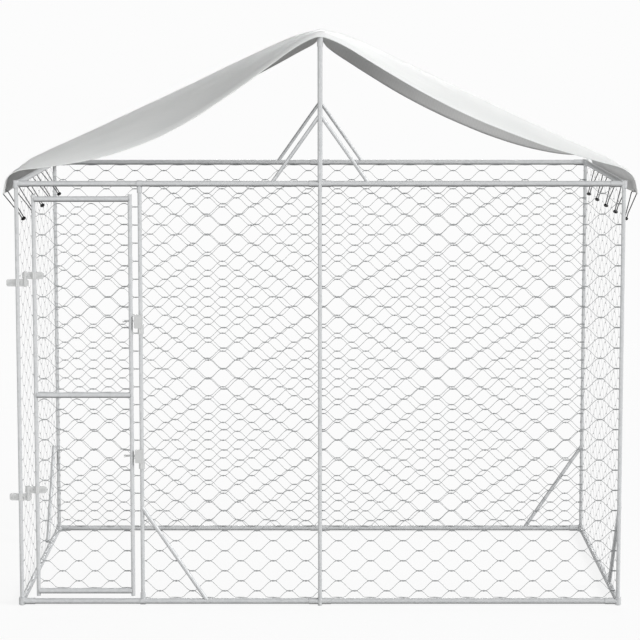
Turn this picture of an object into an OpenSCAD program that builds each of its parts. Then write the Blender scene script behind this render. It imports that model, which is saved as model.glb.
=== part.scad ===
// Outdoor dog kennel run: tube frame, chain link, hinged door with two slide bolts and a sheet roof.
// Millimetres, Z up, ground at Z 0, door in the front (-Y), origin at the middle of the ground plan.

/* [Run] */
// Width between corner post axes
run_w = 3000; // [2600:10:3600]
// Depth between corner post axes
run_d = 1500; // [1300:10:2200]
// Height of the eave rail axis
eave_z = 2128; // [2000:1:2300]
// Height of the ridge tube axis
ridge_z = 2860; // [2700:1:3000]
// Height of the ground rail axis
sill_z = 20; // [20:1:30]

/* [Tubes] */
// Diameter of posts and door stiles
post_d = 20; // [18:0.5:21]
// Diameter of rails
rail_d = 28; // [26:0.5:30]
// Diameter of ridge posts and ridge tube
ridge_d = 24; // [23.5:0.5:27]
// Diameter of ridge stays
stay_d = 18; // [12:0.5:20]
// Diameter of foot braces
brace_d = 20; // [14:0.5:20]
// Wall of all tubes
tube_wall = 1.2; // [0.8:0.1:1.5]

/* [Bracing] */
// Height where a foot brace meets its post
brace_rise = 500; // [350:5:650]
// Reach of a foot brace along its rail
brace_reach = 325; // [250:5:450]
// Height of the stays above the eave rail at the ridge post
stay_rise = 341; // [250:1:450]
// Reach of a stay along the eave rail
stay_reach = 241; // [150:1:350]

/* [Fittings] */
// Wall of elbows and couplers over the rail
sleeve_wall = 2; // [1.5:0.1:2.2]
// Length of an elbow from the post axis
elbow_len = 65; // [45:1:90]
// Length of a rail coupler
coupler_len = 110; // [80:1:140]
// Height of a ridge saddle below the ridge tube axis
saddle_h = 58; // [40:1:80]
// Clearance between fixed pieces
fit_gap = 0.3; // [0.2:0.05:0.35]

/* [Net] */
// Width of one mesh
net_pitch_u = 177.5; // [165:0.5:190]
// Height of one mesh
net_pitch_z = 118; // [110:1:140]
// Wire diameter
net_wire = 3; // [2:0.1:3.2]

/* [Door] */
// Corner post axis to hinge stile axis
hinge_gap = 84; // [80:1:95]
// Stile axis to stile axis
door_w = 476; // [420:1:600]
// Latch stile axis to latch post axis
latch_gap = 49; // [48:1:52]
// Height of the middle rail axis
mid_rail_z = 1071; // [900:1:1250]
// Corner post axis to hinge pin axis
pin_offset = 39; // [37:1:41]
// Height where the upper hinge straps meet
hinge_hi_z = 1654; // [1500:1:1800]
// Height where the lower hinge straps meet
hinge_lo_z = 573; // [400:1:700]
// Height of one hinge strap
strap_h = 36; // [30:1:40]
// Length of a post strap beyond the post axis
post_tail = 55; // [48:1:70]
// Length of a door strap beyond the stile axis
door_tail = 47; // [42:1:65]
// Running clearance of hinge pins and latch bolts
run_gap = 0.06; // [0.03:0.01:0.1]

/* [Latch] */
// Height of the upper bolt
latch_hi_z = 1444; // [1300:1:1560]
// Height of the lower bolt
latch_lo_z = 764; // [660:1:900]
// Bolt diameter
bolt_d = 10; // [8:0.5:10]

/* [Roof] */
// Overhang of the sheet in front of and behind the posts
roof_over = 60; // [50:1:90]
// Outer edge of the hem from the corner post axis
hem_out = 53; // [52:1:70]
// Height of the hem below the eave rail axis
hem_drop = 48; // [40:1:60]
// Thickness of the sheet solid
sheet_t = 3; // [2:0.1:3.2]
// Dip of each slope between the ridge and the eave
slope_dip = 10; // [0:1:20]
// Sag of the front edge, left slope
sag_fl = 180; // [0:5:200]
// Sag of the front edge, right slope
sag_fr = 100; // [0:5:200]
// Place of the front sag, left slope; over 1 moves it toward the eave
belly_fl = 1.13; // [1:0.01:1.3]
// Place of the front sag, right slope
belly_fr = 1; // [1:0.01:1.3]
// Sag of the back edge, left slope
sag_bl = 85; // [0:5:160]
// Sag of the back edge, right slope
sag_br = 145; // [0:5:160]
// Droop of the front edge past the ridge tube
lip_front = 24; // [0:1:40]
// Droop of the back edge past the ridge tube
lip_back = 60; // [0:1:80]
// Bungee cord diameter
cord_d = 5; // [3:0.1:5]
// Bungee ball diameter
ball_d = 26; // [20:0.5:28]

/* [Hidden] */
$fn = 48;
hw = run_w / 2;
hd = run_d / 2;
post_r = post_d / 2;
rail_r = rail_d / 2;
ridge_r = ridge_d / 2;
sleeve_r = rail_r + sleeve_wall;
collar_r = sleeve_r + 0.5;
rail_end = post_r + 7;
post_fwd = 8;
foot_h = 3;
net_near = 9;
net_rail = sqrt(pow(sleeve_r + 0.4, 2) - net_near * net_near);
net_post = sqrt(pow(collar_r + 0.4, 2) - net_near * net_near);
net_deep = net_near + 2 * net_wire + fit_gap;
stile_h = -hw + hinge_gap;
stile_l = stile_h + door_w;
latch_x = stile_l + latch_gap;
pin_x = -hw + pin_offset;
door_z0 = sill_z + rail_r + 14;
door_z1 = eave_z - rail_r - 39;
door_low = door_z0 + rail_r + 11;
door_top = door_z1 - rail_r - 9;
pin_r = 5;
strap_t = 3;
bolt_r = bolt_d / 2;
bolt_travel = 18;
cord_r = cord_d / 2;
ball_r = ball_d / 2;
bungee_step = 2 * net_pitch_u;
bungee_y = [for (i = [-2 : 2]) i * bungee_step];
hem_x = hw + hem_out;
hem_z = eave_z - hem_drop;

steel = [0.8, 0.81, 0.82];
zinc = [0.7, 0.71, 0.72];
wire = [0.75, 0.76, 0.77];
sheet = [0.88, 0.88, 0.87];
black = [0.12, 0.12, 0.13];

// A round bar from p to q
module rod(p, q, d) {
  v = q - p;
  len = norm(v);
  translate(p)
    rotate([0, acos(v[2] / len), atan2(v[1], v[0])])
      cylinder(d = d, h = len);
}

// A tube from p to q, open at both ends
module tube(p, q, d) {
  e = (q - p) / norm(q - p);
  difference() {
    rod(p, q, d);
    rod(p - e, q + e, d - 2 * tube_wall);
  }
}

// Posts
module corner_post(sx, sy) {
  color(steel)
    tube([sx * hw, sy * hd, foot_h + 0.2], [sx * hw, sy * hd, eave_z + 13], post_d);
}
module post_front_left() { corner_post(-1, -1); }
module post_front_right() { corner_post(1, -1); }
module post_back_left() { corner_post(-1, 1); }
module post_back_right() { corner_post(1, 1); }

module centre_post(sy) {
  y = sy * (hd + post_fwd);
  color(steel)
    tube([0, y, foot_h + 0.2], [0, y, eave_z + 130], post_d);
}
module post_front_centre() { centre_post(-1); }
module post_back_centre() { centre_post(1); }

module latch_post() {
  color(steel)
    tube([latch_x, -hd, sill_z + rail_r + 3], [latch_x, -hd, eave_z - rail_r - 3], post_d);
}

module post_foot(x, y) {
  translate([x, y, 0]) {
    cylinder(r = post_r + 1.5, h = foot_h);
    cylinder(r = post_r - tube_wall - fit_gap, h = foot_h + 15);
  }
}
module post_feet() {
  color(zinc) {
    for (sx = [-1, 1])
      for (sy = [-1, 1])
        post_foot(sx * hw, sy * hd);
    for (sy = [-1, 1])
      post_foot(0, sy * (hd + post_fwd));
  }
}

// Ridge
module ridge_post(sy) {
  y = sy * (hd + post_fwd);
  color(steel)
    difference() {
      rod([0, y, eave_z + sleeve_r + fit_gap], [0, y, ridge_z - ridge_r - 2], ridge_d);
      rod([0, y, eave_z], [0, y, ridge_z], post_d + 2 * fit_gap);
    }
}
module ridge_post_front() { ridge_post(-1); }
module ridge_post_back() { ridge_post(1); }

ridge_end = hd + post_fwd + 15;
module ridge_tube() {
  color(steel)
    tube([0, -ridge_end, ridge_z], [0, ridge_end, ridge_z], ridge_d);
}
module ridge_caps() {
  bore = ridge_d - 2 * tube_wall - 2 * fit_gap;
  color(black)
    for (sy = [-1, 1]) {
      rod([0, sy * (ridge_end + 0.2), ridge_z], [0, sy * (ridge_end + 3), ridge_z], ridge_d);
      rod([0, sy * (ridge_end - 14), ridge_z], [0, sy * (ridge_end + 2), ridge_z], bore);
    }
}

module ridge_saddles() {
  color(zinc)
    for (sy = [-1, 1]) {
      y = sy * (hd + post_fwd);
      difference() {
        rod([0, y, ridge_z - saddle_h], [0, y, ridge_z - 1], ridge_d + 5);
        rod([0, y, ridge_z - saddle_h - 9], [0, y, ridge_z - ridge_r - 1.7], ridge_d + 2 * fit_gap);
        rod([0, y - 30, ridge_z], [0, y + 30, ridge_z], ridge_d + 2 * fit_gap);
      }
    }
}

// Rails
module rail_x(y, z, x0, x1) {
  color(steel)
    tube([x0, y, z], [x1, y, z], rail_d);
}
module rail_y(x, z) {
  color(steel)
    tube([x, -hd + rail_end, z], [x, hd - rail_end, z], rail_d);
}
module rail_front_low_left() { rail_x(-hd, sill_z, -hw + rail_end, -rail_end); }
module rail_front_low_right() { rail_x(-hd, sill_z, rail_end, hw - rail_end); }
module rail_back_low_left() { rail_x(hd, sill_z, -hw + rail_end, -rail_end); }
module rail_back_low_right() { rail_x(hd, sill_z, rail_end, hw - rail_end); }
module rail_left_low() { rail_y(-hw, sill_z); }
module rail_right_low() { rail_y(hw, sill_z); }
module rail_front_top_left() { rail_x(-hd, eave_z, -hw + rail_end, -rail_end); }
module rail_front_top_right() { rail_x(-hd, eave_z, rail_end, hw - rail_end); }
module rail_back_top_left() { rail_x(hd, eave_z, -hw + rail_end, -rail_end); }
module rail_back_top_right() { rail_x(hd, eave_z, rail_end, hw - rail_end); }
module rail_left_top() { rail_y(-hw, eave_z); }
module rail_right_top() { rail_y(hw, eave_z); }

// A three-way elbow; the post passes down to z0 and stops under a lid of top mm, or passes through
module elbow(sx, sy, z, down, up, lid) {
  x = sx * hw;
  y = sy * hd;
  difference() {
    union() {
      rod([x, y, z - down], [x, y, z + up], 2 * collar_r);
      rod([x, y, z], [x - sx * elbow_len, y, z], 2 * sleeve_r);
      rod([x, y, z], [x, y - sy * elbow_len, z], 2 * sleeve_r);
    }
    rod([x, y, z - down - 9], [x, y, z + up - lid], post_d + 2 * fit_gap);
    rod([x - sx * (rail_end - fit_gap), y, z], [x - sx * (elbow_len + 5), y, z], rail_d + 2 * fit_gap);
    rod([x, y - sy * (rail_end - fit_gap), z], [x, y - sy * (elbow_len + 5), z], rail_d + 2 * fit_gap);
  }
}
module elbows_low() {
  color(steel)
    for (sx = [-1, 1])
      for (sy = [-1, 1])
        elbow(sx, sy, sill_z, sill_z - foot_h - 0.3, 19, -5);
}
module elbows_top() {
  color(steel)
    for (sx = [-1, 1])
      for (sy = [-1, 1])
        elbow(sx, sy, eave_z, 19, 17, 3.7);
}

// Couplers hold two rail halves and let the centre post pass
module coupler(sy, z) {
  y = sy * hd;
  difference() {
    rod([-coupler_len / 2, y, z], [coupler_len / 2, y, z], 2 * sleeve_r);
    for (sx = [-1, 1])
      rod([sx * (rail_end - fit_gap), y, z], [sx * coupler_len, y, z], rail_d + 2 * fit_gap);
    rod([0, y + sy * post_fwd, z - 40], [0, y + sy * post_fwd, z + 40], post_d + 2 * fit_gap);
  }
}
module rail_couplers() {
  color(steel)
    for (sy = [-1, 1])
      for (z = [sill_z, eave_z])
        coupler(sy, z);
}

// Clamps at the ends of the latch post
module latch_clamp(z, up) {
  difference() {
    union() {
      rod([latch_x - 13, -hd, z], [latch_x + 13, -hd, z], rail_d + 6);
      rod([latch_x, -hd, z], [latch_x, -hd, z + up * (rail_r + 30)], post_d + 6);
    }
    rod([latch_x - 40, -hd, z], [latch_x + 40, -hd, z], rail_d + 2 * fit_gap);
    rod([latch_x, -hd, z + up * (rail_r + 2.7)], [latch_x, -hd, z + up * 90], post_d + 2 * fit_gap);
  }
}
module latch_post_clamps() {
  color(steel) {
    latch_clamp(sill_z, 1);
    latch_clamp(eave_z, -1);
  }
}

// Stays from the ridge posts to the eave rails
module stay(sx, sy) {
  p = [0, sy * (hd + post_fwd), eave_z + stay_rise];
  q = [sx * stay_reach, sy * hd, eave_z];
  difference() {
    tube(p, q, stay_d);
    rod([0, p[1], eave_z], [0, p[1], ridge_z], ridge_d + 2 * fit_gap);
    rod([0, q[1], eave_z], [sx * hw, q[1], eave_z], rail_d + 2 * fit_gap);
  }
}
module ridge_stays() {
  color(steel)
    for (sx = [-1, 1])
      for (sy = [-1, 1])
        stay(sx, sy);
}

// A foot brace in the plane x-z, from a post at x 0 to a rail that runs along +x
// The tubes' axes lie out mm behind it
brace_in = 2;
brace_beside = rail_r + brace_d / 2 + fit_gap;
module brace(out) {
  difference() {
    tube([0, 0, brace_rise], [brace_reach, 0, sill_z], brace_d);
    rod([0, out, 0], [0, out, eave_z], post_d + 2 * fit_gap);
    rod([-200, out, sill_z], [brace_reach + 200, out, sill_z], rail_d + 2 * fit_gap);
  }
}
module foot_brace_front() {
  color(steel)
    translate([latch_x, -hd - brace_in, 0])
      brace(brace_in);
}
module foot_brace_back() {
  color(steel)
    translate([hw, hd + brace_in, 0])
      rotate([0, 0, 180])
        brace(brace_in);
}
module foot_brace_right() {
  color(steel)
    translate([hw + brace_in, -hd, 0])
      rotate([0, 0, 90])
        brace(brace_in);
}
// On the left the brace lies against the outside of the rail
module foot_brace_left() {
  color(steel)
    translate([-hw - brace_beside, hd, 0])
      rotate([0, 0, -90])
        brace(brace_beside);
}

// Net: wires of two directions, each a straight bar cut to the field u0..u1, z0..z1
function cut(p, i, lim, s) = [
  for (j = [0 : len(p) - 1])
    let (
      a = p[j],
      b = p[(j + 1) % len(p)],
      da = s * (a[i] - lim),
      db = s * (b[i] - lim)
    )
    each concat(da <= 0 ? [a] : [], da * db < 0 ? [a + (b - a) * da / (da - db)] : [])
];
function wire_z(u, k, s, c) = c[1] + s * (k - (u - c[0]) * 2 / net_pitch_u) * net_pitch_z / 2;
function wire_bar(k, s, c, u0, u1) =
  let (
    h = net_wire / 2 * sqrt(1 + pow(net_pitch_z / net_pitch_u, 2)),
    za = wire_z(u0 - 5, k, s, c),
    zb = wire_z(u1 + 5, k, s, c)
  )
  [[u0 - 5, za - h], [u1 + 5, zb - h], [u1 + 5, zb + h], [u0 - 5, za + h]];
function wire_in(k, s, c, f) =
  let (p = wire_bar(k, s, c, f[0], f[1]))
  cut(cut(cut(cut(p, 0, f[0], -1), 0, f[1], 1), 1, f[2], -1), 1, f[3], 1);
function span(p) = len(p) < 3 ? 0 : max([for (a = p) a[0]]) - min([for (a = p) a[0]]);

// f is the field [u0, u1, z0, z1], c the middle of one mesh and first the wires next to the tubes
// The net lies behind the plane y 0
module net(f, c, first = -1) {
  color(wire)
    for (s = [-1, 1]) {
      near = net_near + (s == first ? 0 : net_wire + fit_gap);
      for (k = [-61 : 2 : 61]) {
        p = wire_in(k, s, c, f);
        if (span(p) > 0.55 * net_pitch_u)
          translate([0, near + net_wire, 0])
            rotate([90, 0, 0])
              linear_extrude(height = net_wire)
                polygon(p);
      }
    }
}
z_net0 = sill_z + net_rail;
z_net1 = eave_z - net_rail;
z_mesh = z_net0 + 16.5 * net_pitch_z;
module net_front_left() {
  translate([0, -hd, 0])
    net([latch_x + net_post, -2, z_net0, z_net1], [-40, z_mesh], 1);
}
module net_front_right() {
  translate([0, -hd, 0])
    net([2, hw - net_post, z_net0, z_net1], [40, z_mesh]);
}
module net_back_left() {
  translate([0, hd, 0])
    rotate([0, 0, 180])
      net([2, hw - net_post, z_net0, z_net1], [40, z_mesh]);
}
module net_back_right() {
  translate([0, hd, 0])
    rotate([0, 0, 180])
      net([-hw + net_post, -2, z_net0, z_net1], [-40, z_mesh], 1);
}
side_u = hd - net_deep - 0.6;
module net_right() {
  translate([hw, 0, 0])
    rotate([0, 0, 90])
      net([-side_u, side_u, z_net0, z_net1], [0, eave_z - ball_drop + 28]);
}
module net_left() {
  translate([-hw, 0, 0])
    rotate([0, 0, -90])
      net([-side_u, side_u, z_net0, z_net1], [0, eave_z - ball_drop + 28]);
}

// Roof sheet: half section from the ridge to the hem, then the sag of its free edges
roof_y = hd + roof_over;
slope_x = hw - 60;
ridge_top = ridge_z + ridge_r + fit_gap;
ridge_round = 120;
ridge_flat = (ridge_r + 5) / slope_x;
fold_z = eave_z + 4;
fold_x = hem_x - 9;
fall = (ridge_top - eave_z - 108) / (sqrt(slope_x * slope_x + ridge_round * ridge_round) - ridge_round);
function slope_z(x) =
  ridge_top - fall * (sqrt(x * x + ridge_round * ridge_round) - ridge_round)
  - 4 * slope_dip * x / slope_x * (1 - x / slope_x);
function bend(t) =
  let (
    z0 = slope_z(slope_x),
    a = [slope_x, z0],
    b = [slope_x + 62, z0 - 62 * (fall - 4 * slope_dip / slope_x)],
    d = [fold_x, fold_z],
    c = d + (d - [hem_x, hem_z]) * 0.75
  )
  pow(1 - t, 3) * a + 3 * t * pow(1 - t, 2) * b + 3 * t * t * (1 - t) * c + pow(t, 3) * d;
flap = [hem_x - fold_x, hem_z - fold_z];
flap_dir = flap / norm(flap);
flap_out = [-flap_dir[1], flap_dir[0]];
eye_up = 10;
eye_half = 6;
section = concat(
  [for (f = [0, ridge_flat, 0.05, 0.12, 0.24, 0.4, 0.6, 0.8, 1]) [f * slope_x, slope_z(f * slope_x)]],
  [for (t = [0.3, 0.55, 0.8]) bend(t)],
  [for (u = [eye_up + eye_half, eye_up - eye_half, 0]) [hem_x, hem_z] - u * flap_dir]
);
last = len(section) - 1;
function section_out(i) =
  let (
    a = section[max(i - 1, 0)],
    b = section[min(i + 1, last)],
    v = (b - a) / norm(b - a)
  )
  i == 0 ? [0, 1] : (i >= last - 2 ? flap_out : [-v[1], v[0]]);
function edge_sag(x, y) =
  let (
    s = y < 0 ? (x < 0 ? sag_fl : sag_fr) : (x < 0 ? sag_bl : sag_br),
    t = max(min(abs(x) / fold_x, 1) - ridge_flat, 0) / (1 - ridge_flat),
    k = y < 0 ? pow(t, x < 0 ? belly_fl : belly_fr) : t,
    belly = 4 * k * (1 - k),
    past = max(abs(y) - lip_y, 0) / (roof_y - lip_y),
    lip = (y < 0 ? lip_front * pow(1 - t, 2) : lip_back * (1 - pow(t, 6))) * pow(past, 1.5),
    power = y < 0 ? 2 + 2 * pow(t, 3) : 3.5
  )
  s * (y < 0 ? belly : sqrt(belly)) * (1 - 0.35 * pow(t, 3)) * pow(abs(y) / roof_y, power) + lip;
lip_y = ridge_end + 4;
sheet_y = concat(
  [-roof_y, -(roof_y + lip_y) / 2, -lip_y],
  [for (i = [0 : 4])
    each concat(
      [bungee_y[i] - eye_half, bungee_y[i] + eye_half],
      i < 4 ? [bungee_y[i] + bungee_step / 2] : []
    )],
  [lip_y, (roof_y + lip_y) / 2, roof_y]
);
rows = len(sheet_y);
cols = 2 * last + 1;
function sheet_pt(r, c, t) =
  let (
    i = abs(c - last),
    s = c < last ? -1 : 1,
    p = section[i] + t * section_out(i),
    x = s * p[0],
    y = sheet_y[r]
  )
  [x, y, p[1] - edge_sag(s * section[i][0], y)];
function is_eye(r, c) =
  (c == 1 || c == cols - 3) && r >= 3 && r <= rows - 5
  && abs(sheet_y[r + 1] - sheet_y[r] - 2 * eye_half) < 0.01;
function id(l, r, c) = l * rows * cols + r * cols + c;
function quad(a, b, c, d) = [[a, b, c], [a, c, d]];
function wall(r, c, r2, c2) = quad(id(0, r, c), id(0, r2, c2), id(1, r2, c2), id(1, r, c));
sheet_faces = concat(
  [for (r = [0 : rows - 2], c = [0 : cols - 2])
    if (!is_eye(r, c))
      each concat(
        quad(id(0, r, c), id(0, r, c + 1), id(0, r + 1, c + 1), id(0, r + 1, c)),
        quad(id(1, r, c), id(1, r + 1, c), id(1, r + 1, c + 1), id(1, r, c + 1))
      )],
  [for (r = [0 : rows - 2], c = [0 : cols - 2])
    if (is_eye(r, c))
      each concat(
        wall(r, c, r, c + 1),
        wall(r, c + 1, r + 1, c + 1),
        wall(r + 1, c + 1, r + 1, c),
        wall(r + 1, c, r, c)
      )],
  [for (c = [0 : cols - 2])
    each concat(wall(0, c + 1, 0, c), wall(rows - 1, c, rows - 1, c + 1))],
  [for (r = [0 : rows - 2])
    each concat(wall(r, 0, r + 1, 0), wall(r + 1, cols - 1, r, cols - 1))]
);
module roof_tarp() {
  color(sheet)
    polyhedron(
      points = [for (l = [0, 1], r = [0 : rows - 1], c = [0 : cols - 1]) sheet_pt(r, c, l * sheet_t)],
      faces = sheet_faces,
      convexity = 6
    );
}

// Eyelets and bungees: one in each hole of the hem
eye_mid = [hem_x, hem_z] - eye_up * flap_dir + flap_out * sheet_t / 2;
eye_tilt = atan2(flap_out[1], flap_out[0]);
module eyelet() {
  h = sheet_t / 2 + 0.2;
  difference() {
    union() {
      cylinder(r = 5.4, h = 2 * h + 2, center = true);
      for (s = [-1, 1])
        translate([0, 0, s * (h + 0.6)])
          cylinder(r = 8.5, h = 1.2, center = true);
    }
    cylinder(r = eyelet_r, h = 30, center = true);
  }
}
module tarp_eyelets() {
  color(zinc)
    for (s = [0, 1])
      for (y = bungee_y)
        mirror([s, 0, 0])
          translate([eye_mid[0], y, eye_mid[1]])
            rotate([0, 90 - eye_tilt, 0])
              eyelet();
}

// The ball sits inside the left net and hangs outside the right rail; the loop bears on the eyelet's low edge
eyelet_r = 3.9;
loop_r = 13;
ball_half = 5;
function ball_x(left) =
  left ? hw - net_deep - ball_r - fit_gap : hw + rail_r + 2;
ball_drop = 176;
function ball_at(left) = [ball_x(left), eave_z - ball_drop];
function cord_dir(left) = (ball_at(left) - eye_mid) / norm(ball_at(left) - eye_mid);
function cord_path(left) =
  let (
    e = cord_dir(left),
    n = [-e[1], e[0]],
    m = eye_mid + (loop_r + eyelet_r - cord_r - 0.5) * flap_dir,
    b = ball_at(left)
  )
  concat(
    [b + ball_half * n, b + ball_half * n - 30 * e],
    [for (a = [0 : 22.5 : 180]) m + loop_r * (cos(a) * n - sin(a) * e)],
    [b - ball_half * n - 30 * e, b - ball_half * n]
  );
module cord(path, y) {
  k = len(path);
  pts = [
    for (i = [0 : k - 1])
      let (
        v = path[min(i + 1, k - 1)] - path[max(i - 1, 0)],
        d = v / norm(v),
        n = [-d[1], d[0]]
      )
      for (a = [0 : 60 : 300])
        [path[i][0] + cord_r * cos(a) * n[0], y + cord_r * sin(a), path[i][1] + cord_r * cos(a) * n[1]]
  ];
  faces = concat(
    [for (j = [1 : 4]) [0, j, j + 1]],
    [for (j = [1 : 4]) [6 * k - 6, 6 * k - 6 + j + 1, 6 * k - 6 + j]],
    [for (i = [0 : k - 2], j = [0 : 5])
      each quad(6 * i + j, 6 * i + 6 + j, 6 * i + 6 + (j + 1) % 6, 6 * i + (j + 1) % 6)]
  );
  polyhedron(points = pts, faces = faces, convexity = 4);
}
module bungee_cords() {
  color(black)
    for (y = bungee_y) {
      cord(cord_path(false), y);
      mirror([1, 0, 0])
        cord(cord_path(true), y);
    }
}
module bungee_ball(left) {
  b = ball_at(left);
  e = cord_dir(left);
  n = [-e[1], e[0]];
  difference() {
    translate([b[0], 0, b[1]])
      sphere(r = ball_r);
    for (s = [-1, 1]) {
      p = b + s * ball_half * n + 1 * e;
      q = b + s * ball_half * n - 29 * e;
      rod([p[0], 0, p[1]], [q[0], 0, q[1]], cord_d + 2 * fit_gap);
    }
  }
}
module bungee_balls() {
  color(black)
    for (y = bungee_y)
      translate([0, y, 0]) {
        bungee_ball(false);
        mirror([1, 0, 0])
          bungee_ball(true);
      }
}

// Door
module door_stile(x) {
  tube([x, -hd, door_z0 + 3.2], [x, -hd, door_z1 - 3.2], post_d);
}
module door_hinge_stile() {
  color(steel)
    door_stile(stile_h);
}
module door_latch_stile() {
  color(steel)
    difference() {
      door_stile(stile_l);
      for (z = [latch_hi_z, latch_lo_z])
        rod([stile_l - 30, -hd, z], [stile_l + 30, -hd, z], bolt_d + 2 * run_gap);
    }
}
module door_rail(z) {
  color(steel)
    difference() {
      tube([stile_h + 4, -hd, z], [stile_l - 4, -hd, z], rail_d);
      for (x = [stile_h, stile_l])
        rod([x, -hd, z - 30], [x, -hd, z + 30], post_d + 2 * fit_gap);
    }
}
module door_top_rail() { door_rail(door_top); }
module door_mid_rail() { door_rail(mid_rail_z); }
module door_low_rail() { door_rail(door_low); }

strap_r = post_r + fit_gap + strap_t;
door_edge = sqrt(pow(strap_r + 0.4, 2) - net_near * net_near);
rail_edge = sqrt(pow(rail_r + 0.3, 2) - net_near * net_near);
module door_net(z0, z1) {
  translate([0, -hd, 0])
    net([stile_h + door_edge, stile_l - door_edge, z0, z1], [(stile_h + stile_l) / 2, (z0 + z1) / 2]);
}
module door_net_upper() { door_net(mid_rail_z + rail_edge, door_top - rail_edge); }
module door_net_lower() { door_net(door_low + rail_edge, mid_rail_z - rail_edge); }

module stile_cap(x, z, up) {
  rod([x, -hd, z], [x, -hd, z - up * 3], post_d);
  rod([x, -hd, z], [x, -hd, z - up * 16], post_d - 2 * tube_wall - 2 * fit_gap);
}
module stile_caps() {
  color(black)
    for (x = [stile_h, stile_l]) {
      stile_cap(x, door_z0, -1);
      stile_cap(x, door_z1, 1);
    }
}

// Hinges: a strap bent round the tube, closed by bolts, with an eye for the pin
strap_half = strap_t + 0.2;
eye_r = pin_r + 4;
module strap_face(x0, x1, r) {
  for (x = [x0 + r, x1 - r])
    for (z = [r, strap_h - r])
      translate([x, z])
        circle(r = r);
  translate([x0 + r, 0])
    square([x1 - x0 - 2 * r, strap_h]);
  translate([x0, r])
    square([x1 - x0, strap_h - 2 * r]);
}
module strap(x, x0, x1, slit0, slit1, pin_bore, bolts) {
  difference() {
    intersection() {
      linear_extrude(height = strap_h)
        difference() {
          union() {
            translate([x0, -strap_half])
              square([x1 - x0, 2 * strap_half]);
            translate([x, 0])
              circle(r = strap_r);
            translate([pin_x, 0])
              circle(r = eye_r);
          }
          translate([x, 0])
            circle(r = post_r + fit_gap);
          translate([pin_x, 0])
            circle(r = pin_bore);
          translate([slit0, -0.2])
            square([slit1 - slit0, 0.4]);
        }
      translate([0, 30, 0])
        rotate([90, 0, 0])
          linear_extrude(height = 60)
            strap_face(x0, x1, 10);
    }
    for (b = bolts)
      rod([b, -30, strap_h / 2], [b, 30, strap_h / 2], 6 + 2 * fit_gap);
  }
}
post_bolts = [-hw - post_tail + 20, (-hw + strap_r + pin_x - eye_r) / 2];
door_bolts = [(pin_x + eye_r + stile_h - strap_r) / 2, stile_h + door_tail - 16];
module hinge_post_straps() {
  color(zinc)
    for (z = [hinge_hi_z, hinge_lo_z])
      translate([0, -hd, z - 0.2 - strap_h])
        strap(-hw, -hw - post_tail, pin_x + 16, -hw - post_tail - 5, -hw - post_r, pin_r + fit_gap, post_bolts);
}
module hinge_door_straps() {
  color(zinc)
    for (z = [hinge_hi_z, hinge_lo_z])
      translate([0, -hd, z + 0.2])
        strap(
          stile_h, pin_x - 16, stile_h + door_tail,
          stile_h + post_r, stile_h + door_tail + 5, pin_r + run_gap, door_bolts
        );
}
module hinge_pins() {
  color(zinc)
    for (z = [hinge_hi_z, hinge_lo_z])
      translate([pin_x, -hd, z]) {
        translate([0, 0, -strap_h - 3])
          cylinder(r = pin_r, h = 2 * strap_h + 6);
        translate([0, 0, strap_h + 0.6])
          cylinder(r = pin_r + 2.5, h = 2.4);
        translate([0, 0, -strap_h - 3])
          cylinder(r = pin_r + 2.5, h = 2.4);
      }
}
module strap_bolt(x, z) {
  translate([x, -hd, z])
    rotate([-90, 0, 0]) {
      translate([0, 0, -strap_half - 4.7])
        cylinder(r = 5.6, h = 4.5, $fn = 6);
      translate([0, 0, -strap_half - 1])
        cylinder(r = 3, h = 2 * strap_half + 2);
      translate([0, 0, strap_half + 0.2])
        cylinder(r = 5.6, h = 4.5, $fn = 6);
    }
}
module post_strap_bolts() {
  color(zinc)
    for (z = [hinge_hi_z, hinge_lo_z])
      for (x = post_bolts)
        strap_bolt(x, z - 0.2 - strap_h / 2);
}
module door_strap_bolts() {
  color(zinc)
    for (z = [hinge_hi_z, hinge_lo_z])
      for (x = door_bolts)
        strap_bolt(x, z + 0.2 + strap_h / 2);
}

// Latches: a keeper on the latch post and a bolt that slides in the latch stile
keep_x0 = latch_x - 33;
keep_x1 = latch_x + 9;
module keeper_face() {
  for (x = [6, keep_x1 - keep_x0 - 6])
    for (z = [6, 64])
      translate([x, z])
        circle(r = 6);
  translate([6, 0])
    square([keep_x1 - keep_x0 - 12, 70]);
  translate([0, 6])
    square([keep_x1 - keep_x0, 58]);
}
module keeper(z) {
  difference() {
    union() {
      translate([keep_x0, -hd - post_r - 3.5, z - 35])
        rotate([90, 0, 0])
          linear_extrude(height = 4)
            keeper_face();
      translate([keep_x0, -hd - post_r - 5, z - 27])
        cube([4, 2 * post_r + 7, 54]);
      translate([latch_x, -hd, z - 66])
        cylinder(r = post_r + 5, h = 50);
    }
    translate([latch_x, -hd, z - 80])
      cylinder(r = post_r + fit_gap, h = 160);
    rod([keep_x0 - 5, -hd, z], [keep_x0 + 15, -hd, z], bolt_d + 2);
  }
}
module latch_keepers() {
  color(zinc) {
    keeper(latch_hi_z);
    keeper(latch_lo_z);
  }
}
module latch_bolt(z) {
  color(zinc) {
    rod([stile_l - 40, -hd, z], [keep_x0 - 3, -hd, z], bolt_d);
    rod([stile_l - 35, -hd, z], [stile_l - 35, -hd - 26, z], bolt_d - 2);
  }
}
module latch_bolt_upper() { latch_bolt(latch_hi_z); }
module latch_bolt_lower() { latch_bolt(latch_lo_z); }

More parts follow.
